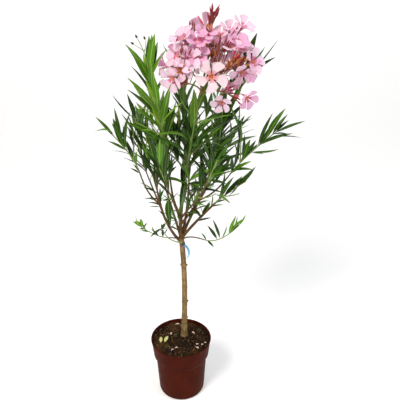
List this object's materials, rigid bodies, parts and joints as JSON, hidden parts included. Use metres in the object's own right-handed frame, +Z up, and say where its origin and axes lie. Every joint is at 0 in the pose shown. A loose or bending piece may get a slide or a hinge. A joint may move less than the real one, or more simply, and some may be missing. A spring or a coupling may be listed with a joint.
{
  "type": "potted oleander",
  "caption": "Young oleander grown as a small standard in a plastic nursery pot: bare trunk, forked boughs, whorls of narrow leaves and heads of pink flowers.",
  "frame": {"origin": "centre of the pot's flat underside", "axes": "+Z up along the trunk; -Y is the front of the plant, which the picture shows; +X is the picture's right"},
  "size_m": [0.4759, 0.4421, 1.0586],
  "materials": {
    "pot": "moulded terracotta-brown plastic, satin",
    "soil": "dark moist peat and bark potting soil",
    "bark": "smooth pale beige-brown bark",
    "young_bark": "smooth brown young bark",
    "foliage": "leathery mid-green leaves, soft sheen",
    "blossom": "soft pale pink petals",
    "strap": "thin flexible blue plastic"
  },
  "bodies": {
    "root": {"bough_back": "young_bark", "bough_back_left": "young_bark", "bough_back_right": "young_bark", "bough_back_upper": "young_bark", "bough_centre": "young_bark", "bough_far_right": "young_bark", "bough_front_left": "young_bark", "bough_front_right": "young_bark", "bough_left": "young_bark", "bough_left_centre": "young_bark", "bough_left_outer": "young_bark", "bough_left_rear": "young_bark", "bough_left_upper": "young_bark", "bough_right": "young_bark", "bough_right_middle": "young_bark", "bough_right_upper": "young_bark", "flower_stalk": "young_bark", "flowers_back": "blossom", "flowers_front": "blossom", "flowers_left": "blossom", "flowers_left_low": "blossom", "flowers_low_right": "blossom", "flowers_right": "blossom", "flowers_right_top": "blossom", "flowers_top": "blossom", "label_strap": "strap", "leaves_back": "foliage", "leaves_back_left": "foliage", "leaves_back_right": "foliage", "leaves_back_upper": "foliage", "leaves_far_right": "foliage", "leaves_front_left": "foliage", "leaves_front_right": "foliage", "leaves_leader": "foliage", "leaves_left": "foliage", "leaves_left_centre": "foliage", "leaves_left_outer": "foliage", "leaves_left_rear": "foliage", "leaves_left_upper": "foliage", "leaves_low_back": "foliage", "leaves_low_left": "foliage", "leaves_low_right": "foliage", "leaves_right": "foliage", "leaves_right_middle": "foliage", "leaves_right_upper": "foliage", "pot": "pot", "soil": "soil", "trunk": "bark", "twig_low_back": "young_bark", "twig_low_left": "young_bark", "twig_low_right": "young_bark"}
  },
  "joints": []
}
